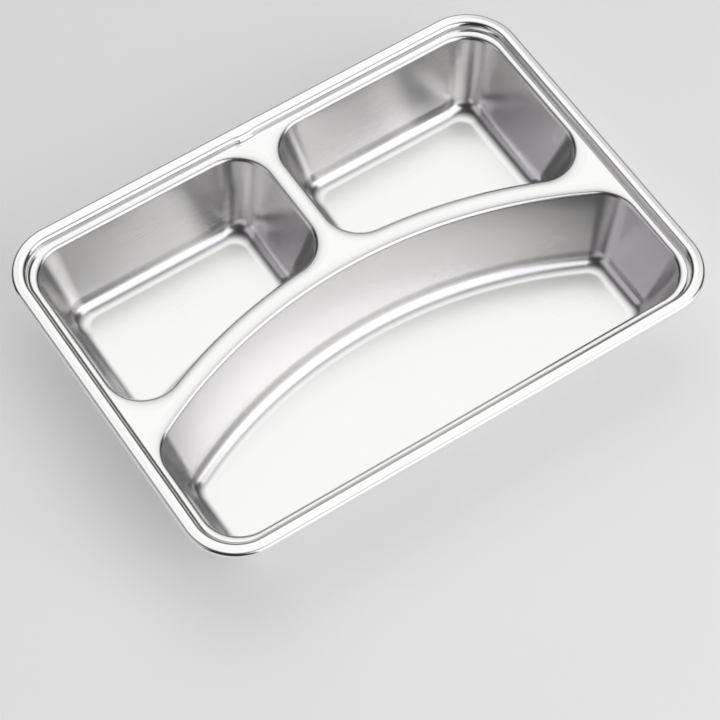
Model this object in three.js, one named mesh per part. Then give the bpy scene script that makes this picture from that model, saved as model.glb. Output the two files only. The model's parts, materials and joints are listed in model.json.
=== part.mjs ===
// A three-compartment serving tray, deep drawn from one stainless sheet.
// The pressing is built zone by zone, and neighbouring zones meet face to face where the sheet is flat.
// Millimetres, +Z up. The origin lies under the middle of the rim, on the surface that the tray stands on.
// +X runs along the long side, and the arched front pan is on the -Y side.
import * as THREE from 'three';

const { degToRad, lerp } = THREE.MathUtils;

// Sheet and overall height
const SHEET = 0.6;
const HEIGHT = 46;

// Pan mouths, measured where the deck starts to roll over
const BACK_PAN_LENGTH = 128.7;
const BACK_PAN_WIDTH = 76.3; // from the arch to the back edge, on the tray's centre line
const FRONT_PAN_WIDTH = 100.2; // from the front edge to the arch, on the tray's centre line
const ARCH_RISE = 36.5; // how far the arch falls from its crown to the side edges
const DIVIDER_WIDTH = 5.6;
const WEB_WIDTH = 7.4;

// Pan walls; every bend is given by the radius on its inside
const MOUTH_BEND = 1.8;
const WALL_DRAFT = degToRad(15.5);
const FLOOR_BEND = 10;
const MOUTH_CORNER_RADIUS = 20.1;
const FLOOR_CORNER_RADIUS = 7;

// Flat strips of deck between the lid groove and the mouths
const SIDE_MARGIN = 0.75;
const BACK_MARGIN = 1.25;
const FRONT_MARGIN = 0.25;

// Lid groove between the flange and the deck
const DECK_DROP = 3.5;
const GROOVE_DEPTH = 1.2; // below the deck
const GROOVE_WALL_TILT = degToRad(7.5);
const GROOVE_RISE = degToRad(57); // slope from the groove up to the deck
const FLANGE_LIP_BEND = 1.4;
const DECK_LIP_BEND = 0.05;
const GROOVE_FOOT_BEND = 0.3;

// Flange with its turned-down, hemmed edge
const FLANGE_WIDTH = 4.8; // from the outermost edge to the groove
const RIM_CORNER_GROWTH = 7.4; // how much rounder the rim's corners are than the mouths' corners
const EDGE_BEND = 1.2;
const SKIRT_DROP = 3;
const HEM_BEND = 0.3;
const HEM_RETURN = 0.8;

// Lug in the back groove that a lid snaps under
const LUG_LENGTH = 8.5;
const LUG_PROUD = 0.9;
const LUG_OFFSET = -3.4; // from the tray's centre line

// Facets
const BEND_STEP = degToRad(26);
const CORNER_STEPS = 6;
const RIM_CORNER_STEPS = 8;
const ARCH_STEPS = 16;

// A path follows the upper face of the sheet. Each of its points holds the inset from an outline, the height,
// and the slope, which is 0 on flat sheet and grows as the sheet turns down.
const LEVEL = 0;
const DOWN = Math.PI / 2;
const UP = 1.5 * Math.PI;
const FULL_TURN = 2 * Math.PI;
const WALL_SLOPE = DOWN - WALL_DRAFT;
const GROOVE_WALL_SLOPE = DOWN - GROOVE_WALL_TILT;

class SheetPath {
  constructor(inset, z, slope) {
    this.points = [{ inset, z, slope }];
  }

  get end() {
    return this.points[this.points.length - 1];
  }

  straight(length) {
    const { inset, z, slope } = this.end;
    this.points.push({ inset: inset + length * Math.cos(slope), z: z - length * Math.sin(slope), slope });
    return this;
  }

  // Runs straight until it reaches the given height.
  straightToHeight(z) {
    return this.straight((this.end.z - z) / Math.sin(this.end.slope));
  }

  // Runs straight until it reaches the given inset.
  straightInTo(inset) {
    return this.straight((inset - this.end.inset) / Math.cos(this.end.slope));
  }

  // Turns to a new slope. Where the sheet turns down, its upper face is the outside of the bend.
  bend(insideRadius, toSlope) {
    const start = this.end;
    const turn = toSlope - start.slope;
    const radius = Math.sign(turn) * (turn > 0 ? insideRadius + SHEET : insideRadius);
    const steps = Math.ceil(Math.abs(turn) / BEND_STEP);
    for (let i = 1; i <= steps; i += 1) {
      const slope = start.slope + (turn * i) / steps;
      this.points.push({
        inset: start.inset + radius * (Math.sin(slope) - Math.sin(start.slope)),
        z: start.z + radius * (Math.cos(slope) - Math.cos(start.slope)),
        slope,
      });
    }
    return this;
  }

  // The closed section of the sheet: the upper face, then the lower face on the way back.
  section() {
    const lower = this.points.map(({ inset, z, slope }) => ({
      inset: inset - SHEET * Math.sin(slope),
      z: z - SHEET * Math.cos(slope),
    }));
    return [...this.points, ...lower.reverse()];
  }
}

// How far a bend on the upper face drops as it turns between level and a slope
const bendDrop = (radius, slope) => radius * (1 - Math.cos(slope));

// Sections through the rim, from the outermost edge inwards
const hemRadius = HEM_BEND + SHEET;
const edgeRadius = EDGE_BEND + SHEET;
const deckLipRadius = DECK_LIP_BEND + SHEET;
const deckTop = HEIGHT - DECK_DROP;

const hemPath = new SheetPath(2 * hemRadius, HEIGHT - SKIRT_DROP + hemRadius + HEM_RETURN, DOWN)
  .straight(HEM_RETURN)
  .bend(HEM_BEND, UP)
  .straight(SKIRT_DROP - hemRadius - edgeRadius)
  .bend(EDGE_BEND, FULL_TURN);

const flangePath = new SheetPath(edgeRadius, HEIGHT, LEVEL).straightInTo(FLANGE_WIDTH);

const grooveBottom = deckTop - GROOVE_DEPTH;
const groovePath = new SheetPath(FLANGE_WIDTH, HEIGHT, LEVEL)
  .bend(FLANGE_LIP_BEND, GROOVE_WALL_SLOPE)
  .straightToHeight(grooveBottom + bendDrop(GROOVE_FOOT_BEND, GROOVE_WALL_SLOPE))
  .bend(GROOVE_FOOT_BEND, -GROOVE_RISE)
  .straightToHeight(deckTop - bendDrop(deckLipRadius, GROOVE_RISE))
  .bend(DECK_LIP_BEND, LEVEL);
const deckInset = groovePath.end.inset;

// Section through a pan, from the mouth to the floor
const wallPath = new SheetPath(0, deckTop, LEVEL)
  .bend(MOUTH_BEND, WALL_SLOPE)
  .straightToHeight(SHEET + bendDrop(FLOOR_BEND, WALL_SLOPE))
  .bend(FLOOR_BEND, LEVEL);
const floorInset = wallPath.end.inset;

// Plan of the tray
const sideInset = deckInset + SIDE_MARGIN;
const backInset = deckInset + BACK_MARGIN;
const frontInset = deckInset + FRONT_MARGIN;
const mouthHalfLength = DIVIDER_WIDTH / 2 + BACK_PAN_LENGTH;
const rimHalfLength = mouthHalfLength + sideInset;
const rimHalfWidth = (frontInset + FRONT_PAN_WIDTH + WEB_WIDTH + BACK_PAN_WIDTH + backInset) / 2;
const rimCornerRadius = MOUTH_CORNER_RADIUS + RIM_CORNER_GROWTH;
const frontEdge = frontInset - rimHalfWidth;
const frontCrown = frontEdge + FRONT_PAN_WIDTH;
const backCrown = frontCrown + WEB_WIDTH;
const backEdge = backCrown + BACK_PAN_WIDTH;
const archRadius = (mouthHalfLength ** 2 + ARCH_RISE ** 2) / (2 * ARCH_RISE);

// An outline is a closed, counter-clockwise list of stations: a point, and its step into the shape per unit of inset.
const TO_CENTRE = -1;
const FROM_CENTRE = 1;

function arcStations(centre, radius, from, to, steps, side = TO_CENTRE) {
  return Array.from({ length: steps + 1 }, (_, i) => {
    const angle = lerp(from, to, i / steps);
    const spoke = new THREE.Vector2(Math.cos(angle), Math.sin(angle));
    return { point: spoke.clone().multiplyScalar(radius).add(centre), inward: spoke.multiplyScalar(side) };
  });
}

function rimOutline() {
  const x = rimHalfLength - rimCornerRadius;
  const y = rimHalfWidth - rimCornerRadius;
  const centres = [[x, y], [-x, y], [-x, -y], [x, -y]];
  return centres.flatMap((centre, i) => {
    const from = (i * Math.PI) / 2;
    return arcStations(new THREE.Vector2(...centre), rimCornerRadius, from, from + Math.PI / 2, RIM_CORNER_STEPS);
  });
}

// A mouth's corner tightens down to the floor by only a share of the way in, so the rest of each step runs along
// the mitre of the two sides.
const cornerShrink = (MOUTH_CORNER_RADIUS - FLOOR_CORNER_RADIUS) / floorInset;

function mouthCorner(x, y, from, to) {
  const stations = arcStations(new THREE.Vector2(x, y), MOUTH_CORNER_RADIUS, from, to, CORNER_STEPS);
  const first = stations[0].inward;
  const last = stations[CORNER_STEPS].inward;
  const mitre = first.clone().add(last).divideScalar(1 + first.dot(last));
  return stations.map(({ point, inward }) => ({ point, inward: mitre.clone().lerp(inward, cornerShrink) }));
}

// The arch between two corners. Its stations slide along it on the way in, as the ends of the corners do.
function archBetween(before, stations, after) {
  const along = ({ x, y }) => new THREE.Vector2(y, -x);
  const last = stations.length - 1;
  const startSlide = before[CORNER_STEPS].inward.dot(along(stations[0].inward));
  const endSlide = after[0].inward.dot(along(stations[last].inward));
  return stations.slice(1, -1).map(({ point, inward }, i) => {
    const slide = lerp(startSlide, endSlide, (i + 1) / last);
    return { point, inward: along(inward).multiplyScalar(slide).add(inward) };
  });
}

function backRightOutline() {
  const inner = DIVIDER_WIDTH / 2 + MOUTH_CORNER_RADIUS;
  const outer = mouthHalfLength - MOUTH_CORNER_RADIUS;
  const back = backEdge - MOUTH_CORNER_RADIUS;
  const arch = new THREE.Vector2(0, backCrown - archRadius);
  const cornerReach = (x) => Math.sqrt((archRadius + MOUTH_CORNER_RADIUS) ** 2 - x ** 2);
  const innerAngle = Math.atan2(cornerReach(inner), inner);
  const outerAngle = Math.atan2(cornerReach(outer), outer);
  const innerFront = mouthCorner(inner, arch.y + cornerReach(inner), Math.PI, Math.PI + innerAngle);
  const outerFront = mouthCorner(outer, arch.y + cornerReach(outer), Math.PI + outerAngle, FULL_TURN);
  const archStations = arcStations(arch, archRadius, innerAngle, outerAngle, ARCH_STEPS / 2, FROM_CENTRE);
  return [
    ...mouthCorner(outer, back, 0, Math.PI / 2),
    ...mouthCorner(inner, back, Math.PI / 2, Math.PI),
    ...innerFront,
    ...archBetween(innerFront, archStations, outerFront),
    ...outerFront,
  ];
}

function frontOutline() {
  const outer = mouthHalfLength - MOUTH_CORNER_RADIUS;
  const front = frontEdge + MOUTH_CORNER_RADIUS;
  const arch = new THREE.Vector2(0, frontCrown - archRadius);
  const cornerReach = Math.sqrt((archRadius - MOUTH_CORNER_RADIUS) ** 2 - outer ** 2);
  const angle = Math.atan2(cornerReach, outer);
  const backRight = mouthCorner(outer, arch.y + cornerReach, 0, angle);
  const backLeft = mouthCorner(-outer, arch.y + cornerReach, Math.PI - angle, Math.PI);
  const archStations = arcStations(arch, archRadius, angle, Math.PI - angle, ARCH_STEPS);
  return [
    ...backRight,
    ...archBetween(backRight, archStations, backLeft),
    ...backLeft,
    ...mouthCorner(-outer, front, Math.PI, 1.5 * Math.PI),
    ...mouthCorner(outer, front, 1.5 * Math.PI, FULL_TURN),
  ];
}

function mirrored(outline) {
  const flip = ({ x, y }) => new THREE.Vector2(-x, y);
  return outline.map(({ point, inward }) => ({ point: flip(point), inward: flip(inward) })).reverse();
}

const insetPoints = (outline, inset) => outline.map(({ point, inward }) => point.clone().addScaledVector(inward, inset));

// Sweeps a closed section around an outline.
function ringGeometry(outline, section) {
  const positions = [];
  const indices = [];
  outline.forEach(({ point, inward }, i) => {
    const here = i * section.length;
    const next = ((i + 1) % outline.length) * section.length;
    section.forEach(({ inset, z }, j) => {
      const k = (j + 1) % section.length;
      positions.push(point.x + inward.x * inset, point.y + inward.y * inset, z);
      indices.push(here + j, next + j, next + k, here + j, next + k, here + k);
    });
  });
  const geometry = new THREE.BufferGeometry();
  geometry.setAttribute('position', new THREE.Float32BufferAttribute(positions, 3));
  geometry.setIndex(indices);
  geometry.computeVertexNormals();
  return geometry;
}

// A flat stretch of sheet, with any holes through it.
function plateGeometry(points, holes = []) {
  const shape = new THREE.Shape(points);
  shape.holes = holes.map((hole) => new THREE.Path(hole));
  return new THREE.ExtrudeGeometry(shape, { depth: SHEET, bevelEnabled: false });
}

const STEEL_COLOR = 0xf2f1f0;
const tray = new THREE.Group();

function addZone(name, geometry, roughness) {
  const steel = new THREE.MeshStandardMaterial({ color: STEEL_COLOR, roughness, metalness: 1 });
  const mesh = new THREE.Mesh(geometry, steel);
  mesh.name = name;
  tray.add(mesh);
  return mesh;
}

// Rim: hemmed edge, flange and lid groove
const RIM_ROUGHNESS = 0.22;
const rim = rimOutline();
addZone('edge_hem', ringGeometry(rim, hemPath.section()), RIM_ROUGHNESS);
addZone('rim_flange', ringGeometry(rim, flangePath.section()), RIM_ROUGHNESS);
addZone('lid_groove', ringGeometry(rim, groovePath.section()), RIM_ROUGHNESS);

// Lug: fills the back groove up to the deck and carries the flange a little further in
function lugGeometry() {
  const upper = new SheetPath(FLANGE_WIDTH, HEIGHT, LEVEL)
    .straight(LUG_PROUD)
    .bend(FLANGE_LIP_BEND, GROOVE_WALL_SLOPE)
    .straightToHeight(deckTop).points;
  const lower = groovePath.points.slice(1).reverse();
  const shape = new THREE.Shape([...upper, ...lower].map(({ inset, z }) => new THREE.Vector2(inset, z)));
  return new THREE.ExtrudeGeometry(shape, { depth: LUG_LENGTH, bevelEnabled: false });
}

const lug = addZone('lid_lug', lugGeometry(), RIM_ROUGHNESS);
const inFromBack = new THREE.Vector3(0, -1, 0);
const up = new THREE.Vector3(0, 0, 1);
const alongBack = new THREE.Vector3().crossVectors(inFromBack, up);
lug.quaternion.setFromRotationMatrix(new THREE.Matrix4().makeBasis(inFromBack, up, alongBack));
lug.position.set(LUG_OFFSET + LUG_LENGTH / 2, rimHalfWidth, 0);

// Deck: the flat web that the three pans hang from
const DECK_ROUGHNESS = 0.26;
const backRight = backRightOutline();
const pans = { back_left: mirrored(backRight), back_right: backRight, front: frontOutline() };
const mouths = Object.values(pans).map((outline) => insetPoints(outline, 0));
const deck = addZone('deck', plateGeometry(insetPoints(rim, deckInset), mouths), DECK_ROUGHNESS);
deck.position.z = deckTop - SHEET;

// Pans: a drawn wall from the mouth to the floor bend, and a flat floor
const WALL_ROUGHNESS = 0.3;
const FLOOR_ROUGHNESS = 0.34;
Object.entries(pans).forEach(([name, outline]) => {
  addZone(`${name}_wall`, ringGeometry(outline, wallPath.section()), WALL_ROUGHNESS);
  addZone(`${name}_floor`, plateGeometry(insetPoints(outline, floorInset)), FLOOR_ROUGHNESS);
});

export default tray;
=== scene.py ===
"""A three-compartment serving tray in satin stainless steel, with the stage that it is shown on."""
import json
from collections import namedtuple
from math import atan2, ceil, cos, pi, radians, sin, sqrt, tan

import bpy
from bpy.props import FloatProperty, FloatVectorProperty, PointerProperty
from mathutils import Matrix, Vector
from mathutils.geometry import tessellate_polygon


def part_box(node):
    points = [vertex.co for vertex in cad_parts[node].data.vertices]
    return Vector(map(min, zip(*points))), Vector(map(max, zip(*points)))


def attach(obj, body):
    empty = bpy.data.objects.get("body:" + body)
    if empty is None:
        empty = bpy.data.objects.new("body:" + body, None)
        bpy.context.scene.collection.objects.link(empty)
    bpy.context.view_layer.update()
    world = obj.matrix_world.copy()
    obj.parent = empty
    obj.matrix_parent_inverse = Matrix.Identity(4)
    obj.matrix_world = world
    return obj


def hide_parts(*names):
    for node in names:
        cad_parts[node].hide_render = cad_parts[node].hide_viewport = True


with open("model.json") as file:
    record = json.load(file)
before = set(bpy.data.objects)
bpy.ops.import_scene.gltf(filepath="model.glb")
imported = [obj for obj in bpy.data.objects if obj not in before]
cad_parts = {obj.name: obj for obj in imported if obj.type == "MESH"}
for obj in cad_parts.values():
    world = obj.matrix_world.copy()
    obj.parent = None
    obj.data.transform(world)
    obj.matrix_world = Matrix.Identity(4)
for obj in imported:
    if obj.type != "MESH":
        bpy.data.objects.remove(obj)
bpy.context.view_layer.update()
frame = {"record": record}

bl_info = {
    "name": "Compartment tray",
    "version": (1, 0, 0),
    "blender": (4, 5, 0),
    "location": "3D View > Sidebar > Tray",
    "description": "Builds a pressed steel tray with two back pans and an arched front pan",
    "category": "Add Mesh",
}

# Places read off the frame
MM = 0.001
rim_low, rim_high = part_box("edge_hem")
groove_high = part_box("lid_groove")[1]
deck_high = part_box("deck")[1]
back_low, back_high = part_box("back_right_wall")
front_low, front_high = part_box("front_wall")
floor_low, floor_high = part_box("front_floor")
lug_low, lug_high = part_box("lid_lug")
slot_colours = {material["slot"]: material["base_color"] for material in frame["record"]["materials"]}


# Kinds of setting
def length(name, description, default):
    """A length in metres."""
    return FloatProperty(
        name=name, description=description, default=default, precision=5, subtype="DISTANCE", unit="LENGTH"
    )


def angle(name, description, degrees):
    """An angle, given here in degrees."""
    return FloatProperty(
        name=name, description=description, default=radians(degrees), subtype="ANGLE", unit="ROTATION"
    )


def share(name, description, default):
    """A number from 0 to 1."""
    return FloatProperty(
        name=name, description=description, default=default, min=0.0, max=1.0, subtype="FACTOR"
    )


def colour(name, description, default):
    """A linear colour."""
    return FloatVectorProperty(
        name=name, description=description, default=default, size=3, min=0.0, max=1.0, subtype="COLOR"
    )


def level(name, description, default):
    """A brightness, where 1 shows as white."""
    return FloatProperty(name=name, description=description, default=default, min=0.0, subtype="NONE")


class TrayShape(bpy.types.PropertyGroup):
    """Sizes of the pressing. Bends are given by the radius on their inside."""

    sheet: length("Sheet", "Thickness of the steel", floor_high.z - floor_low.z)
    height: length("Height", "Top of the flange above the table", rim_high.z)
    half_length: length("Half length", "Middle of the tray to the end of the rim", rim_high.x)
    half_width: length("Half width", "Middle of the tray to the long edge of the rim", rim_high.y)
    rim_corner: length("Rim corner", "Corner radius of the rim", 27.5 * MM)
    flange_width: length("Flange width", "Outermost edge to the lid groove", rim_high.x - groove_high.x)
    edge_bend: length("Edge bend", "Bend between flange and skirt", 1.2 * MM)
    right_tilt: angle("Right tilt", "Slope of the flange's outer strip on the right", 10.5)
    left_tilt: angle("Left tilt", "Slope of the flange's outer strip on the left", 7)
    least_tilt: angle("Least tilt", "Slope of the flange's outer strip elsewhere", 1)
    strip_width: length("Strip width", "Sloping strip along the outside of the flange", 1.8 * MM)
    strip_ease: length("Strip ease", "Width over which the strip rounds off to the flange", 0.8 * MM)
    skirt_drop: length("Skirt drop", "Height of the turned-down edge", rim_high.z - rim_low.z)
    hem_bend: length("Hem bend", "Bend of the folded hem", 0.15 * MM)
    hem_return: length("Hem return", "Straight end of the folded hem", 0.8 * MM)
    deck_height: length("Deck height", "Top of the deck above the table", deck_high.z)
    back_flange: length("Back flange", "How much wider the flange is along the back", 0.1 * MM)
    groove_depth: length("Groove depth", "Lid groove below the deck", 1.1 * MM)
    back_depth: length("Back depth", "Lid groove below the deck along the back", 0.5 * MM)
    groove_tilt: angle("Groove tilt", "Lean of the groove's outer wall", 2)
    back_tilt: angle("Back tilt", "Lean of the groove's outer wall along the back", 7.5)
    groove_rise: angle("Groove rise", "Slope from the groove up to the deck", 44)
    back_rise: angle("Back rise", "Slope from the groove up to the deck along the back", 20)
    flange_lip_bend: length("Flange lip bend", "Bend from the flange into the groove", 1.4 * MM)
    back_flange_lip: length("Back flange lip", "Bend from the flange into the groove at the back", 2.0 * MM)
    deck_lip_bend: length("Deck lip bend", "Bend from the groove on to the deck", 0.05 * MM)
    back_lip_bend: length("Back lip bend", "Bend from the groove on to the deck along the back", 1.4 * MM)
    groove_foot_bend: length("Groove foot bend", "Bend at the bottom of the groove", 0.3 * MM)
    lug_proud: length("Lug proud", "How far the lid lug stands in from the flange", 0.6 * MM)
    lug_reach: length("Lug reach", "How far the lug's bulge runs on beyond each end of its nib", 2.8 * MM)
    lug_ramp: length("Lug ramp", "Length over which the bulge swells at each end", 4.6 * MM)
    nib_proud: length("Nib proud", "How far the nib stands out of the lug's wall", 0.42 * MM)
    nib_height: length("Nib height", "Middle of the nib above the deck", 1.35 * MM)
    nib_thickness: length("Nib thickness", "Height of the nib on the lug's wall", 1.1 * MM)
    nib_ramp: length("Nib ramp", "Length over which the nib swells at each end", 0.7 * MM)
    mouth_half_length: length("Mouth half length", "Middle of the tray to the end of a pan", back_high.x)
    divider: length("Divider", "Width between the back pans", 2 * back_low.x)
    back_edge: length("Back edge", "Middle of the tray to the back edge of the back pans", back_high.y)
    front_edge: length("Front edge", "Middle of the tray to the front edge of the front pan", front_low.y)
    front_crown: length("Front crown", "Middle of the tray to the top of the arch", front_high.y)
    web: length("Web", "Width of the arched strip between the pans", 7.4 * MM)
    arch_rise: length("Arch rise", "Fall of the arch from its crown to the ends of the pans", 36.5 * MM)
    mouth_bend: length("Mouth bend", "Bend from the deck into a pan", 1.8 * MM)
    mouth_ease: angle("Mouth ease", "Slope that the deck has when it reaches a mouth", 16)
    mouth_ease_width: length("Mouth ease width", "Widest eased strip of deck at a mouth", 3.5 * MM)
    wall_draft: angle("Wall draft", "Lean of the pan walls", 15.5)
    floor_bend: length("Floor bend", "Bend from a pan wall to its floor", 10.0 * MM)
    mouth_corner: length("Mouth corner", "Corner radius of a pan at its mouth", 20.1 * MM)
    floor_corner: length("Floor corner", "Corner radius of a pan at its floor", 7.0 * MM)


class TrayFinish(bpy.types.PropertyGroup):
    """Colour and polish of the steel."""

    rim_colour: colour("Rim colour", "Steel of the rim", slot_colours["rim_steel"])
    deck_colour: colour("Deck colour", "Steel of the deck", slot_colours["deck_steel"])
    wall_colour: colour("Wall colour", "Steel of the pan walls", slot_colours["wall_steel"])
    floor_colour: colour("Floor colour", "Steel of the pan floors", slot_colours["floor_steel"])
    rim_roughness: share("Rim roughness", "Polish of the rim", 0.15)
    deck_roughness: share("Deck roughness", "Polish of the deck", 0.18)
    wall_roughness: share("Wall roughness", "Polish of the pan walls", 0.24)
    floor_roughness: share("Floor roughness", "Polish of the pan floors", 0.24)
    grain_width: length("Grain width", "Width of a brush line", 0.25 * MM)
    grain_height: length("Grain height", "Depth of a brush line", 0.0006 * MM)
    wave_width: length("Wave width", "Width of the soft waves that pressing leaves", 45.0 * MM)
    wave_height: length("Wave height", "Depth of the soft waves that pressing leaves", 0.03 * MM)


class TrayStage(bpy.types.PropertyGroup):
    """Camera, table and light."""

    azimuth: angle("Azimuth", "Turn of the camera round the tray", -33.515)
    elevation: angle("Elevation", "Height of the camera over the tray", 58.67)
    roll: angle("Roll", "Lean of the camera", 0.194)
    distance: length("Distance", "Camera to the point that it looks at", 1295.25 * MM)
    look_x: length("Look at X", "Point on the flange's plane that the camera looks at", -27.17 * MM)
    look_y: length("Look at Y", "Point on the flange's plane that the camera looks at", -42.68 * MM)
    lens: FloatProperty(
        name="Lens", description="Focal length of the camera", default=141.01, subtype="DISTANCE_CAMERA"
    )
    table_colour: colour("Table colour", "Pale table under the tray", (0.86, 0.86, 0.86))
    table_lift: level("Table lift", "How much paler the table shows than the lamps make it", 0.3)
    room_level: level("Room level", "Brightness of the dim room round the lamps", 0.03)
    glow_level: level("Glow level", "Brightness of the ceiling's soft glow", 1.08)
    glow_azimuth: angle("Glow azimuth", "Direction of the ceiling's glow", 145)
    glow_elevation: angle("Glow elevation", "Height of the ceiling's glow", 60.5)
    glow_core: angle("Glow core", "Angle from the middle of the glow at which it starts to fade", 11)
    glow_edge: angle("Glow edge", "Angle from the middle of the glow at which it ends", 52)
    lamp_distance: length("Lamp distance", "Tray to each soft lamp", 1.6)
    low_level: level("Low level", "Brightness of the low lamp before the tray", 1.0)
    high_level: level("High level", "Brightness of the high lamp before the tray", 1.25)
    left_level: level("Left level", "Brightness of the lamp on the left", 0.52)


# Plan: an outline is a closed, counter-clockwise list of stations
# A station holds its point, the way it moves as the outline is inset, and the way a wall there faces
Station = namedtuple("Station", "point inward facing")
TO_CENTRE = -1
FROM_CENTRE = 1
QUARTER = pi / 2
FULL_TURN = 2 * pi

# Steps round a pan's corner, round a corner of the rim and along the arch
CORNER_STEPS = 24
RIM_CORNER_STEPS = 28
ARCH_STEPS = 64


def arc_stations(centre, radius, start, end, steps, side=TO_CENTRE):
    """Stations along an arc, looking to its centre or away from it."""
    stations = []
    for i in range(steps + 1):
        turn = start + (end - start) * i / steps
        spoke = Vector((cos(turn), sin(turn)))
        stations.append(Station(Vector(centre) + spoke * radius, spoke * side, spoke * side))
    return stations


def tapered_corner(centre, radius, start, end, taper):
    """Corner whose radius shrinks with each step into the outline by only a share of that step."""
    stations = arc_stations(centre, radius, start, end, CORNER_STEPS)
    first = stations[0].facing
    last = stations[-1].facing
    mitre = (first + last) / (1 + first.dot(last))
    return [Station(point, facing.lerp(mitre, 1 - taper), facing) for point, _, facing in stations]


def along(facing):
    """Direction along the outline, beside the direction into it."""
    return Vector((facing.y, -facing.x))


def tapered_arch(before, arch, after):
    """The arch between two corners, whose stations glide along it as the ends of the corners do."""
    last = len(arch) - 1
    first_glide = before[-1].inward.dot(along(arch[0].facing))
    last_glide = after[0].inward.dot(along(arch[last].facing))
    stations = []
    for i, (point, _, facing) in enumerate(arch[1:-1], 1):
        glide = first_glide + (last_glide - first_glide) * i / last
        stations.append(Station(point, facing + along(facing) * glide, facing))
    return stations


def inset_points(outline, inset):
    """The outline's points, moved into it."""
    return [station.point + station.inward * inset for station in outline]


def flip(vector):
    """A plan vector with its long-side direction turned about."""
    return Vector((-vector.x, vector.y))


def mirrored(outline):
    """The same outline on the other side of the tray."""
    return [Station(*(flip(vector) for vector in station)) for station in outline][::-1]


# Section: a path along the upper face of the sheet
PathPoint = namedtuple("PathPoint", "inset z slope")
LEVEL = 0.0
DOWN = QUARTER
UP = 3 * QUARTER
BEND_STEP = radians(5)

# Steps of the bends that vary round the rim, the same number at each station
EDGE_STEPS = 18
STRIP_STEPS = 6
GROOVE_STEPS = 12

# Way that a wall faces along the back of the rim
AT_BACK = Vector((0, -1))


class SheetPath:
    """Upper face of the sheet, as its inset from an outline, its height and its slope.

    The slope is 0 on level sheet and grows as the sheet turns down.
    """

    def __init__(self, sheet, inset, z, slope):
        self.sheet = sheet
        self.points = [PathPoint(inset, z, slope)]

    @property
    def end(self):
        """The last point so far."""
        return self.points[-1]

    def straight(self, run):
        """Go on for a length at the same slope."""
        inset, z, slope = self.end
        self.points.append(PathPoint(inset + run * cos(slope), z - run * sin(slope), slope))
        return self

    def straight_to_height(self, z):
        """Go on at the same slope to a height."""
        return self.straight((self.end.z - z) / sin(self.end.slope))

    def straight_in_to(self, inset):
        """Go on at the same slope to an inset."""
        return self.straight((inset - self.end.inset) / cos(self.end.slope))

    def bend(self, inside_radius, to_slope, steps=None):
        """Turn to a new slope. Where the sheet turns down, its upper face is the outside of the bend."""
        start = self.end
        turn = to_slope - start.slope
        radius = inside_radius + self.sheet if turn > 0 else -inside_radius
        steps = steps or ceil(abs(turn) / BEND_STEP)
        for i in range(1, steps + 1):
            slope = start.slope + turn * i / steps
            inset = start.inset + radius * (sin(slope) - sin(start.slope))
            z = start.z + radius * (cos(slope) - cos(start.slope))
            self.points.append(PathPoint(inset, z, slope))
        return self


def bend_drop(radius, slope):
    """How far the upper face drops as a bend turns between level and a slope."""
    return radius * (1 - cos(slope))


def backness(facing):
    """How far a place on the rim is turned to the back, from 0 to 1."""
    return max(0.0, -facing.y)


def blend(front, back, facing):
    """A size of the rim between its value at the front and sides and its value at the back."""
    return front + (back - front) * backness(facing)


def strip_tilt(shape, facing):
    """Slope of the flange's outer strip, which falls away at the two ends of the tray."""
    side = shape.right_tilt if facing.x < 0 else shape.left_tilt
    return shape.least_tilt + (side - shape.least_tilt) * abs(facing.x)


def hem_path(shape, facing):
    """Folded hem, skirt and the bend up to the flange."""
    tilt = strip_tilt(shape, facing)
    hem_radius = shape.hem_bend + shape.sheet
    edge_rise = (shape.edge_bend + shape.sheet) * cos(tilt)
    strip_drop = shape.strip_width * sin(tilt) + shape.strip_ease * tan(tilt / 2)
    hem_top = shape.height - shape.skirt_drop + hem_radius + shape.hem_return
    path = SheetPath(shape.sheet, 2 * hem_radius, hem_top, DOWN)
    path.straight(shape.hem_return)
    path.bend(shape.hem_bend, UP)
    path.straight(shape.skirt_drop - strip_drop - hem_radius - edge_rise)
    return path.bend(shape.edge_bend, FULL_TURN - tilt, EDGE_STEPS)


def flange_end(shape, facing):
    """Inset at which the flange gives way to the groove. The flange is wider along the back."""
    return shape.flange_width + shape.back_flange * backness(facing)


def flange_path(shape, facing):
    """Flange round the top: its sloping outer strip, then flat."""
    edge = hem_path(shape, facing).end
    tilt = strip_tilt(shape, facing)
    path = SheetPath(shape.sheet, edge.inset, edge.z, -tilt)
    path.straight(shape.strip_width)
    path.bend(shape.strip_ease / sin(tilt) - shape.sheet, LEVEL, STRIP_STEPS)
    return path.straight_in_to(flange_end(shape, facing))


def groove_path(shape, facing):
    """Step down from the flange to the deck, through a lid groove that is gentler along the back."""
    wall_slope = DOWN - blend(shape.groove_tilt, shape.back_tilt, facing)
    bottom = shape.deck_height - blend(shape.groove_depth, shape.back_depth, facing)
    rise = blend(shape.groove_rise, shape.back_rise, facing)
    lip_bend = blend(shape.deck_lip_bend, shape.back_lip_bend, facing)
    path = SheetPath(shape.sheet, flange_end(shape, facing), shape.height, LEVEL)
    path.bend(blend(shape.flange_lip_bend, shape.back_flange_lip, facing), wall_slope, EDGE_STEPS)
    path.straight_to_height(bottom + bend_drop(shape.groove_foot_bend, wall_slope))
    path.bend(shape.groove_foot_bend, LEVEL, GROOVE_STEPS)
    path.bend(shape.groove_foot_bend, -rise, GROOVE_STEPS)
    path.straight_to_height(shape.deck_height - bend_drop(lip_bend + shape.sheet, rise))
    return path.bend(lip_bend, LEVEL, GROOVE_STEPS)


def rim_paths(shape, path):
    """Section of a zone of the rim at each station."""
    return [path(shape, station.facing) for station in rim_outline(shape)]


def deck_edge(shape):
    """Plan points where the lid groove ends and the deck begins."""
    stations = zip(rim_outline(shape), rim_paths(shape, groove_path))
    return [station.point + station.inward * path.end.inset for station, path in stations]


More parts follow.
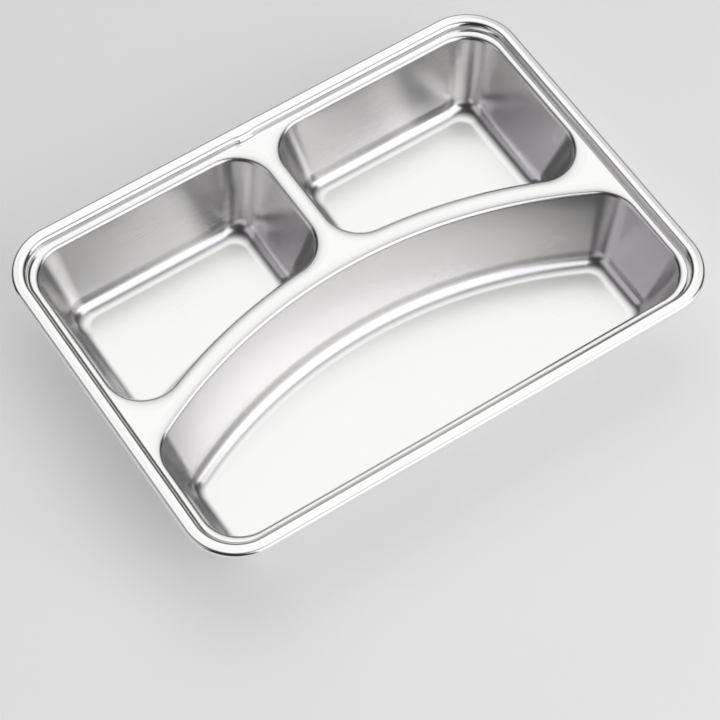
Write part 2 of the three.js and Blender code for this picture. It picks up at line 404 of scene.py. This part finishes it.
def wall_path(shape):
    """Wall of a pan, from the end of the eased deck to the flat floor."""
    radius = shape.mouth_bend + shape.sheet
    ease = shape.mouth_ease
    wall_slope = DOWN - shape.wall_draft
    path = SheetPath(shape.sheet, radius * sin(ease), shape.deck_height - bend_drop(radius, ease), ease)
    path.bend(shape.mouth_bend, wall_slope)
    path.straight_to_height(shape.sheet + bend_drop(shape.floor_bend, wall_slope))
    return path.bend(shape.floor_bend, LEVEL)


def corner_taper(shape):
    """Share of the way in by which a pan's corner radius shrinks."""
    return (shape.mouth_corner - shape.floor_corner) / wall_path(shape).end.inset


def rim_outline(shape):
    """Outermost edge of the rim."""
    radius = shape.rim_corner
    x = shape.half_length - radius
    y = shape.half_width - radius
    stations = []
    for i, centre in enumerate([(x, y), (-x, y), (-x, -y), (x, -y)]):
        stations += arc_stations(centre, radius, i * QUARTER, (i + 1) * QUARTER, RIM_CORNER_STEPS)
    return stations


def arch_radius(shape):
    """Radius of the arch that passes its crown and the ends of the pans."""
    return (shape.mouth_half_length**2 + shape.arch_rise**2) / (2 * shape.arch_rise)


def back_right_outline(shape):
    """Mouth of the right back pan."""
    corner = shape.mouth_corner
    taper = corner_taper(shape)
    radius = arch_radius(shape)
    inner = shape.divider / 2 + corner
    outer = shape.mouth_half_length - corner
    back = shape.back_edge - corner
    arch_y = shape.front_crown + shape.web - radius
    inner_reach = sqrt((radius + corner) ** 2 - inner**2)
    outer_reach = sqrt((radius + corner) ** 2 - outer**2)
    inner_turn = atan2(inner_reach, inner)
    outer_turn = atan2(outer_reach, outer)
    inner_front = tapered_corner((inner, arch_y + inner_reach), corner, pi, pi + inner_turn, taper)
    outer_front = tapered_corner((outer, arch_y + outer_reach), corner, pi + outer_turn, FULL_TURN, taper)
    arch = arc_stations((0, arch_y), radius, inner_turn, outer_turn, ARCH_STEPS // 2, FROM_CENTRE)
    return [
        *tapered_corner((outer, back), corner, 0, QUARTER, taper),
        *tapered_corner((inner, back), corner, QUARTER, pi, taper),
        *inner_front,
        *tapered_arch(inner_front, arch, outer_front),
        *outer_front,
    ]


def front_outline(shape):
    """Mouth of the arched front pan."""
    corner = shape.mouth_corner
    taper = corner_taper(shape)
    radius = arch_radius(shape)
    outer = shape.mouth_half_length - corner
    front = shape.front_edge + corner
    arch_y = shape.front_crown - radius
    reach = sqrt((radius - corner) ** 2 - outer**2)
    turn = atan2(reach, outer)
    right = tapered_corner((outer, arch_y + reach), corner, 0, turn, taper)
    left = tapered_corner((-outer, arch_y + reach), corner, pi - turn, pi, taper)
    return [
        *right,
        *tapered_arch(right, arc_stations((0, arch_y), radius, turn, pi - turn, ARCH_STEPS), left),
        *left,
        *tapered_corner((-outer, front), corner, pi, 3 * QUARTER, taper),
        *tapered_corner((outer, front), corner, 3 * QUARTER, FULL_TURN, taper),
    ]


def pan_outlines(shape):
    """Mouths of the three pans by name."""
    back_right = back_right_outline(shape)
    return {"back_left": mirrored(back_right), "back_right": back_right, "front": front_outline(shape)}


# The deck eases down to each mouth over as much of its width as there is
EASE_STEPS = 6
EASE_SMOOTHING = 12  # rounds
EASE_REACH = 4  # times the widest strip, within which the next edge is looked for
SHARED_DECK = 0.46  # of the deck between two mouths
OUTER_DECK = 0.85  # of the deck between a mouth and the groove
PARALLEL = 1e-12  # cross product below which a way out and an edge never meet


def clear_width(station, outlines, reach):
    """Width of flat deck outside a station, up to a reach."""
    nearest = reach
    out = -station.inward
    for points in outlines:
        for start, end in zip(points, points[1:] + points[:1]):
            edge = end - start
            across = out.x * edge.y - out.y * edge.x
            if abs(across) < PARALLEL:
                continue
            gap = start - station.point
            ahead = (gap.x * edge.y - gap.y * edge.x) / across
            part = (gap.x * out.y - gap.y * out.x) / across
            if 0 < ahead < nearest and 0 <= part <= 1:
                nearest = ahead
    return nearest


def ease_widths(shape, outlines):
    """Width of the eased strip outside each station of each mouth."""
    outer_edge = deck_edge(shape)
    least = wall_path(shape).points[0].inset
    reach = EASE_REACH * shape.mouth_ease_width
    widths = {}
    for name, outline in outlines.items():
        others = [inset_points(other, 0) for key, other in outlines.items() if key != name]
        found = []
        for station in outline:
            shared = SHARED_DECK * clear_width(station, others, reach)
            outer = OUTER_DECK * clear_width(station, [outer_edge], reach)
            found.append(least + min(shared, outer, shape.mouth_ease_width))
        limit = found
        for _ in range(EASE_SMOOTHING):
            around = zip(found[-1:] + found[:-1], found, found[1:] + found[:1])
            found = [min(top, sum(three) / len(three)) for top, three in zip(limit, around)]
        widths[name] = found
    return widths


def eased_section(path, width):
    """The eased strip of deck and the pan wall after it, whose top is let down to suit."""
    first = path.points[0]
    radius = width / sin(first.slope)
    plain_drop = bend_drop(first.inset / sin(first.slope), first.slope)
    let_down = bend_drop(radius, first.slope) - plain_drop
    deck = first.z + plain_drop
    section = []
    for i in range(EASE_STEPS):
        slope = first.slope * i / EASE_STEPS
        inset = first.inset - radius * (sin(first.slope) - sin(slope))
        section.append(PathPoint(inset, deck - bend_drop(radius, slope), slope))
    steepest = max(point.slope for point in path.points)
    before_wall = True
    for point in path.points:
        section.append(PathPoint(point.inset, point.z - (let_down if before_wall else 0), point.slope))
        if point.slope == steepest:
            before_wall = False
    return section


# Meshes
def add_piece(name, mesh, material):
    """Put a finished mesh in the scene in place of the CAD node with its name."""
    piece = bpy.data.objects.new(f"{name}_steel", mesh)
    bpy.context.scene.collection.objects.link(piece)
    mesh.materials.append(material)
    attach(piece, "root")
    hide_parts(name)


SHARP_EDGE = radians(40)


def finished_mesh(name, points, faces, normals=None):
    """A smooth mesh with sharp cut edges, and with the given normal at each face corner, if any."""
    mesh = bpy.data.meshes.new(name)
    mesh.from_pydata(points, [], faces)
    mesh.shade_smooth()
    mesh.set_sharp_from_angle(angle=SHARP_EDGE)
    if normals:
        mesh.normals_split_custom_set(normals)
    return mesh


def ring_mesh(name, sheet, outline, sections):
    """Sheet swept round an outline, with one section of the upper face for each station."""
    count = len(sections[0])
    points = []
    normals = []
    tangents = []
    for station, section in zip(outline, sections):
        upper = []
        lower = []
        for inset, z, slope in section:
            plan = station.point + station.inward * inset
            spread = station.inward.dot(station.facing)
            normal = Vector((*(station.facing * sin(slope)), spread * cos(slope))).normalized()
            tangents.append(Vector((*(station.inward * cos(slope)), -sin(slope))))
            normals.append(normal)
            upper.append(Vector((*plan, z)))
            lower.append(upper[-1] - normal * sheet)
        points += upper + lower[::-1]
    faces = []
    corners = []
    around = 2 * count
    for i in range(len(outline)):
        after = (i + 1) % len(outline)
        for j in range(around):
            k = (j + 1) % around
            faces.append((i * around + j, after * around + j, after * around + k, i * around + k))
            for station, step in ((i, j), (after, j), (after, k), (i, k)):
                place = station * count + min(step, around - 1 - step)
                # Upper face, inner edge, lower face and outer edge
                if j < count - 1:
                    corners.append(normals[place])
                elif j == count - 1:
                    corners.append(tangents[place])
                elif j < around - 1:
                    corners.append(-normals[place])
                else:
                    corners.append(-tangents[place])
    return finished_mesh(name, points, faces, corners)


def plate_mesh(name, sheet, top, outlines):
    """Flat sheet inside the first outline and outside the others, each a list of plan points."""
    outside, *holes = outlines
    edges = [outside] + [hole[::-1] for hole in holes]
    rings = [[Vector((*point, top)) for point in edge] for edge in edges]
    upper = [point for ring in rings for point in ring]
    lower = [point - Vector((0, 0, sheet)) for point in upper]
    count = len(upper)
    faces = []
    for triangle in tessellate_polygon(rings):
        a, b, c = (upper[i] for i in triangle)
        order = triangle if (b - a).cross(c - a).z > 0 else triangle[::-1]
        faces.append(tuple(order))
        faces.append(tuple(i + count for i in order[::-1]))
    first = 0
    for ring in rings:
        for i in range(len(ring)):
            here = first + i
            after = first + (i + 1) % len(ring)
            faces.append((here, here + count, after + count, after))
        first += len(ring)
    return finished_mesh(name, upper + lower, faces)


# Materials
def add_node(tree, kind, **settings):
    """A shader node with some of its own settings."""
    node = tree.nodes.new(kind)
    for key, value in settings.items():
        setattr(node, key, value)
    return node


def noise(tree, coordinates, size, detail, stretch=(1, 1, 1), turn=0.0):
    """Cloudy noise with spots of a given size, which can be drawn out into lines."""
    mapping = add_node(tree, "ShaderNodeMapping")
    mapping.inputs["Scale"].default_value = [1 / (size * factor) for factor in stretch]
    mapping.inputs["Rotation"].default_value = (0, 0, turn)
    texture = add_node(tree, "ShaderNodeTexNoise")
    texture.inputs["Scale"].default_value = 1.0
    texture.inputs["Detail"].default_value = detail
    tree.links.new(coordinates, mapping.inputs["Vector"])
    tree.links.new(mapping.outputs["Vector"], texture.inputs["Vector"])
    return texture.outputs[0]


def remap(tree, value, low, high, to_low, to_high):
    """A value spread from one range to another."""
    node = add_node(tree, "ShaderNodeMapRange")
    for key, number in zip(("From Min", "From Max", "To Min", "To Max"), (low, high, to_low, to_high)):
        node.inputs[key].default_value = number
    tree.links.new(value, node.inputs["Value"])
    return node.outputs["Result"]


def combined(tree, operation, first, second):
    """Two values joined by arithmetic."""
    node = add_node(tree, "ShaderNodeMath", operation=operation)
    tree.links.new(first, node.inputs[0])
    tree.links.new(second, node.inputs[1])
    return node.outputs[0]


# How far the grain is drawn out, on brushed and on drawn sheet
BRUSHED = (70, 1, 1)
DRAWN = (1, 1, 70)
GRAIN_DETAIL = 1.0

# Hairline scratches
SCRATCH_STRETCH = (140, 1, 1)
SCRATCH_WIDTH = 0.3 * MM
SCRATCH_TURN = radians(11)
SCRATCH_DETAIL = 1.0
SCRATCH_RANGE = (0.62, 0.7)
SCRATCH_DULLNESS = 0.03

# Patches of uneven colour and polish, and soft waves
PATCH_WIDTH = 30 * MM
PATCH_DETAIL = 2.0
PATCH_RANGE = (0.3, 0.7)
SHADE_SPREAD = 0.015
POLISH_SPREAD = 0.02
WAVE_DETAIL = 0.0

# Sockets of a node that mixes two colours
MIX_SHARE = 0
MIX_FIRST = 6
MIX_SECOND = 7
MIX_RESULT = 2


def steel(name, tint, roughness, grain_stretch, finish):
    """Satin stainless steel: fine grain, hairline scratches, soft pressing waves and uneven polish."""
    material = bpy.data.materials.new(name)
    material.use_nodes = True
    tree = material.node_tree
    shader = tree.nodes["Principled BSDF"]
    shader.inputs["Metallic"].default_value = 1.0
    place = add_node(tree, "ShaderNodeTexCoord").outputs["Object"]
    grain = noise(tree, place, finish.grain_width, GRAIN_DETAIL, grain_stretch)
    scratch = noise(tree, place, SCRATCH_WIDTH, SCRATCH_DETAIL, SCRATCH_STRETCH, SCRATCH_TURN)
    patch = noise(tree, place, PATCH_WIDTH, PATCH_DETAIL)
    wave = noise(tree, place, finish.wave_width, WAVE_DETAIL)

    # Colour drifts a little between a lighter and a darker steel
    drift = add_node(tree, "ShaderNodeMix", data_type="RGBA")
    tree.links.new(remap(tree, patch, *PATCH_RANGE, 0.0, 1.0), drift.inputs[MIX_SHARE])
    drift.inputs[MIX_FIRST].default_value = (*(part * (1 - SHADE_SPREAD) for part in tint), 1)
    drift.inputs[MIX_SECOND].default_value = (*(part * (1 + SHADE_SPREAD) for part in tint), 1)
    tree.links.new(drift.outputs[MIX_RESULT], shader.inputs["Base Color"])

    # Polish varies with the patches and is duller in the scratches
    polish = remap(tree, patch, *PATCH_RANGE, roughness - POLISH_SPREAD, roughness + POLISH_SPREAD)
    dull = remap(tree, scratch, *SCRATCH_RANGE, 0.0, SCRATCH_DULLNESS)
    tree.links.new(combined(tree, "ADD", polish, dull), shader.inputs["Roughness"])

    # Relief in metres
    lines = remap(tree, grain, 0.0, 1.0, 0.0, finish.grain_height)
    swell = remap(tree, wave, 0.0, 1.0, 0.0, finish.wave_height)
    bump = add_node(tree, "ShaderNodeBump")
    bump.inputs["Strength"].default_value = 1.0
    bump.inputs["Distance"].default_value = 1.0
    tree.links.new(combined(tree, "ADD", lines, swell), bump.inputs["Height"])
    tree.links.new(bump.outputs["Normal"], shader.inputs["Normal"])
    return material


def slot_steel(slot):
    """The steel of a slot, made once."""
    zone = slot.split("_")[0]
    name = f"{zone}_satin"
    if name in bpy.data.materials:
        return bpy.data.materials[name]
    finish = bpy.context.scene.tray_finish
    tint = getattr(finish, f"{zone}_colour")
    roughness = getattr(finish, f"{zone}_roughness")
    return steel(name, tint, roughness, DRAWN if zone == "wall" else BRUSHED, finish)


def add_rim_ring(shape, name, path):
    """One zone of the rim, from the path of its section."""
    sections = [section.points for section in rim_paths(shape, path)]
    mesh = ring_mesh(name, shape.sheet, rim_outline(shape), sections)
    add_piece(name, mesh, slot_steel("rim_steel"))


# Lid lug
LUG_STEPS = 72  # along the lug
NIB_STEPS = 18  # down its wall
LUG_LAP = 0.5 * MM  # of the flange that it covers
LUG_SINK = 0.004 * MM  # of its lap below the flange's face
HIDDEN = 0.05 * MM  # inside the groove's sheet, where it fades out


def gentle(part):
    """A share that starts and ends gently, held between 0 and 1."""
    held = min(1.0, max(0.0, part))
    return held * held * (3 - 2 * held)


def lug_section(shape, proud, nib):
    """Upper face of the lug: the flange's edge standing proud, and a wall with the nib."""
    wall_slope = DOWN - shape.back_tilt
    bottom = shape.deck_height - shape.back_depth - HIDDEN
    edge = flange_end(shape, AT_BACK)
    path = SheetPath(shape.sheet, edge - LUG_LAP, shape.height - LUG_SINK, LEVEL)
    path.straight_in_to(edge + proud)
    path.bend(shape.back_flange_lip, wall_slope)
    top = path.end.z
    foot = bottom + bend_drop(shape.groove_foot_bend, wall_slope)
    for i in range(1, NIB_STEPS + 1):
        path.straight_to_height(top + (foot - top) * i / NIB_STEPS)
    path.bend(shape.groove_foot_bend, LEVEL)
    middle = shape.deck_height + shape.nib_height
    section = []
    for inset, z, _ in path.points:
        off = abs(z - middle) / (shape.nib_thickness / 2)
        section.append((inset + nib * gentle(1 - off), z))
    return section


def lug_mesh(shape):
    """Bulge of the flange's inner edge, with a nib along its wall that holds the lid."""
    back = shape.half_width
    core = []
    for inset, z, slope in groove_path(shape, AT_BACK).points:
        core.append((inset - shape.sheet / 2 * sin(slope), z - shape.sheet / 2 * cos(slope)))
    start = lug_low.x - shape.lug_reach
    span = lug_high.x + shape.lug_reach - start
    points = []
    for i in range(LUG_STEPS + 1):
        x = start + span * i / LUG_STEPS
        inside = min(x - lug_low.x, lug_high.x - x)
        proud = (shape.lug_proud + HIDDEN) * gentle((inside + shape.lug_reach) / shape.lug_ramp) - HIDDEN
        nib = shape.nib_proud * gentle(inside / shape.nib_ramp)
        section = lug_section(shape, proud, nib) + core[::-1]
        points.append([Vector((x, back - inset, z)) for inset, z in section])
    around = len(points[0])
    faces = [tuple(range(around))[::-1]]
    for i in range(LUG_STEPS):
        for j in range(around):
            k = (j + 1) % around
            faces.append((i * around + j, i * around + k, (i + 1) * around + k, (i + 1) * around + j))
    last = LUG_STEPS * around
    faces.append(tuple(range(last, last + around)))
    return finished_mesh("lid_lug", [point for section in points for point in section], faces)


# Operators
class TRAY_OT_edge_hem(bpy.types.Operator):
    """Fold the skirt down from the flange and turn its hem in"""

    bl_idname = "tray.edge_hem"
    bl_label = "Edge hem"

    def execute(self, context):
        shape = context.scene.tray_shape
        add_rim_ring(shape, "edge_hem", hem_path)
        return {"FINISHED"}


class TRAY_OT_rim_flange(bpy.types.Operator):
    """Lay the flat flange round the top"""

    bl_idname = "tray.rim_flange"
    bl_label = "Rim flange"

    def execute(self, context):
        shape = context.scene.tray_shape
        add_rim_ring(shape, "rim_flange", flange_path)
        return {"FINISHED"}


class TRAY_OT_lid_groove(bpy.types.Operator):
    """Press the groove that a lid sits in"""

    bl_idname = "tray.lid_groove"
    bl_label = "Lid groove"

    def execute(self, context):
        shape = context.scene.tray_shape
        add_rim_ring(shape, "lid_groove", groove_path)
        return {"FINISHED"}


class TRAY_OT_lid_lug(bpy.types.Operator):
    """Raise the lug in the back groove that a lid snaps under"""

    bl_idname = "tray.lid_lug"
    bl_label = "Lid lug"

    def execute(self, context):
        shape = context.scene.tray_shape
        add_piece("lid_lug", lug_mesh(shape), slot_steel("rim_steel"))
        return {"FINISHED"}


class TRAY_OT_deck(bpy.types.Operator):
    """Lay the flat deck that the three pans hang from"""

    bl_idname = "tray.deck"
    bl_label = "Deck"

    def execute(self, context):
        shape = context.scene.tray_shape
        outlines = pan_outlines(shape)
        widths = ease_widths(shape, outlines)
        start = wall_path(shape).points[0].inset
        edges = [deck_edge(shape)]
        for name, outline in outlines.items():
            edge = []
            for station, width in zip(outline, widths[name]):
                edge.append(station.point + station.inward * (start - width))
            edges.append(edge)
        mesh = plate_mesh("deck", shape.sheet, shape.deck_height, edges)
        add_piece("deck", mesh, slot_steel("deck_steel"))
        return {"FINISHED"}


class TRAY_OT_pan_walls(bpy.types.Operator):
    """Draw the walls of the three pans down from the deck"""

    bl_idname = "tray.pan_walls"
    bl_label = "Pan walls"

    def execute(self, context):
        shape = context.scene.tray_shape
        outlines = pan_outlines(shape)
        widths = ease_widths(shape, outlines)
        path = wall_path(shape)
        for name, outline in outlines.items():
            node = f"{name}_wall"
            sections = [eased_section(path, width) for width in widths[name]]
            mesh = ring_mesh(node, shape.sheet, outline, sections)
            add_piece(node, mesh, slot_steel("wall_steel"))
        return {"FINISHED"}


class TRAY_OT_pan_floors(bpy.types.Operator):
    """Close the three pans with their flat floors"""

    bl_idname = "tray.pan_floors"
    bl_label = "Pan floors"

    def execute(self, context):
        shape = context.scene.tray_shape
        inset = wall_path(shape).end.inset
        for name, outline in pan_outlines(shape).items():
            node = f"{name}_floor"
            mesh = plate_mesh(node, shape.sheet, shape.sheet, [inset_points(outline, inset)])
            add_piece(node, mesh, slot_steel("floor_steel"))
        return {"FINISHED"}


# Stage
TABLE_SIZE = 12.0
TABLE_ROUGHNESS = 0.8


def direction(azimuth, elevation):
    """Unit vector from the tray towards a view angle, where azimuth 0 is straight before it."""
    return Vector((sin(azimuth) * cos(elevation), -cos(azimuth) * cos(elevation), sin(elevation)))


def aim(azimuth, elevation, roll=0.0):
    """Rotation of a camera or lamp that stands at a view angle and looks at the tray."""
    back = direction(azimuth, elevation)
    right = Vector((cos(azimuth), sin(azimuth), 0.0))
    up = back.cross(right)
    leaning = right * cos(roll) + up * sin(roll)
    return Matrix((leaning, back.cross(leaning), back)).transposed()


Lamp = namedtuple("Lamp", "azimuth lowest highest half_width tint")
LAMPS = {
    "low": Lamp(radians(27), radians(0), radians(35), radians(35), (1.0, 0.99, 0.98)),
    "high": Lamp(radians(24), radians(31), radians(66), radians(36), (0.97, 0.96, 1.0)),
    "left": Lamp(radians(-102), radians(0), radians(46), radians(24), (0.96, 0.92, 1.0)),
}


def add_lamp(name, lamp, brightness, distance):
    """A large soft lamp that looks at the tray and spans the given angles."""
    elevation = (lamp.lowest + lamp.highest) / 2
    light = bpy.data.lights.new(name, "AREA")
    light.shape = "RECTANGLE"
    light.size = 2 * distance * cos(elevation) * tan(lamp.half_width)
    light.size_y = 2 * distance * tan((lamp.highest - lamp.lowest) / 2)
    light.energy = brightness * pi * light.size * light.size_y
    light.color = lamp.tint
    piece = bpy.data.objects.new(name, light)
    place = direction(lamp.azimuth, elevation) * distance
    piece.matrix_world = Matrix.Translation(place) @ aim(lamp.azimuth, elevation).to_4x4()
    bpy.context.scene.collection.objects.link(piece)


def ceiling_glow(tree, stage):
    """Brightness of the room by direction: a soft glow that fades out round its middle."""
    place = add_node(tree, "ShaderNodeTexCoord").outputs["Generated"]
    towards = add_node(tree, "ShaderNodeVectorMath", operation="DOT_PRODUCT")
    towards.inputs[1].default_value = direction(stage.glow_azimuth, stage.glow_elevation)
    tree.links.new(place, towards.inputs[0])
    away = add_node(tree, "ShaderNodeMath", operation="ARCCOSINE")
    tree.links.new(towards.outputs["Value"], away.inputs[0])
    lit = stage.room_level + stage.glow_level
    glow = remap(tree, away.outputs[0], stage.glow_core, stage.glow_edge, lit, stage.room_level)
    glow.node.interpolation_type = "SMOOTHSTEP"
    return glow


def table_paint(stage):
    """Pale paint that shows a little paler than the lamps make it, and still takes shadows."""
    material = bpy.data.materials.new("table_paint")
    material.use_nodes = True
    tree = material.node_tree
    paint = tree.nodes["Principled BSDF"]
    paint.inputs["Base Color"].default_value = (*stage.table_colour, 1)
    paint.inputs["Roughness"].default_value = TABLE_ROUGHNESS
    paint.inputs["Emission Color"].default_value = (*stage.table_colour, 1)
    ray = add_node(tree, "ShaderNodeLightPath")
    seen = ray.outputs["Is Camera Ray"]
    for kind in ("Is Glossy Ray", "Is Transmission Ray"):
        seen = combined(tree, "MAXIMUM", seen, ray.outputs[kind])
    lift = remap(tree, seen, 0.0, 1.0, 0.0, stage.table_lift)
    tree.links.new(lift, paint.inputs["Emission Strength"])
    return material


class TRAY_OT_stage(bpy.types.Operator):
    """Set the pale table, the soft lamps and the camera"""

    bl_idname = "tray.stage"
    bl_label = "Stage"

    def execute(self, context):
        scene = context.scene
        stage = scene.tray_stage
        scene.view_settings.view_transform = "Standard"

        half = TABLE_SIZE / 2
        corners = [(-half, -half, 0), (half, -half, 0), (half, half, 0), (-half, half, 0)]
        mesh = bpy.data.meshes.new("table")
        mesh.from_pydata(corners, [], [(0, 1, 2, 3)])
        table = bpy.data.objects.new("table", mesh)
        scene.collection.objects.link(table)
        mesh.materials.append(table_paint(stage))

        world = bpy.data.worlds.new("room")
        world.use_nodes = True
        room = world.node_tree.nodes["Background"]
        room.inputs["Color"].default_value = (1, 1, 1, 1)
        world.node_tree.links.new(ceiling_glow(world.node_tree, stage), room.inputs["Strength"])
        scene.world = world

        for name, lamp in LAMPS.items():
            add_lamp(f"{name}_lamp", lamp, getattr(stage, f"{name}_level"), stage.lamp_distance)

        data = bpy.data.cameras.new("camera")
        data.lens = stage.lens
        camera = bpy.data.objects.new("camera", data)
        target = Vector((stage.look_x, stage.look_y, scene.tray_shape.height))
        place = target + direction(stage.azimuth, stage.elevation) * stage.distance
        turn = aim(stage.azimuth, stage.elevation, stage.roll)
        camera.matrix_world = Matrix.Translation(place) @ turn.to_4x4()
        scene.collection.objects.link(camera)
        scene.camera = camera
        return {"FINISHED"}


class TRAY_PT_panel(bpy.types.Panel):
    """Pieces of the tray"""

    bl_idname = "TRAY_PT_panel"
    bl_label = "Compartment tray"
    bl_space_type = "VIEW_3D"
    bl_region_type = "UI"
    bl_category = "Tray"

    def draw(self, context):
        for operator in OPERATORS:
            self.layout.operator(operator.bl_idname)


SETTINGS = {"tray_shape": TrayShape, "tray_finish": TrayFinish, "tray_stage": TrayStage}
OPERATORS = (
    TRAY_OT_edge_hem,
    TRAY_OT_rim_flange,
    TRAY_OT_lid_groove,
    TRAY_OT_lid_lug,
    TRAY_OT_deck,
    TRAY_OT_pan_walls,
    TRAY_OT_pan_floors,
    TRAY_OT_stage,
)


def register():
    """Add the settings, the operators and the panel to Blender."""
    for settings in SETTINGS.values():
        bpy.utils.register_class(settings)
    for name, settings in SETTINGS.items():
        setattr(bpy.types.Scene, name, PointerProperty(type=settings))
    for operator in OPERATORS:
        bpy.utils.register_class(operator)
    bpy.utils.register_class(TRAY_PT_panel)


def unregister():
    """Take them away again."""
    bpy.utils.unregister_class(TRAY_PT_panel)
    for operator in reversed(OPERATORS):
        bpy.utils.unregister_class(operator)
    for name, settings in SETTINGS.items():
        delattr(bpy.types.Scene, name)
        bpy.utils.unregister_class(settings)


def main():
    """Build the tray on its stage."""
    register()
    bpy.ops.tray.edge_hem()
    bpy.ops.tray.rim_flange()
    bpy.ops.tray.lid_groove()
    bpy.ops.tray.lid_lug()
    bpy.ops.tray.deck()
    bpy.ops.tray.pan_walls()
    bpy.ops.tray.pan_floors()
    bpy.ops.tray.stage()


if __name__ == "__main__":
    main()
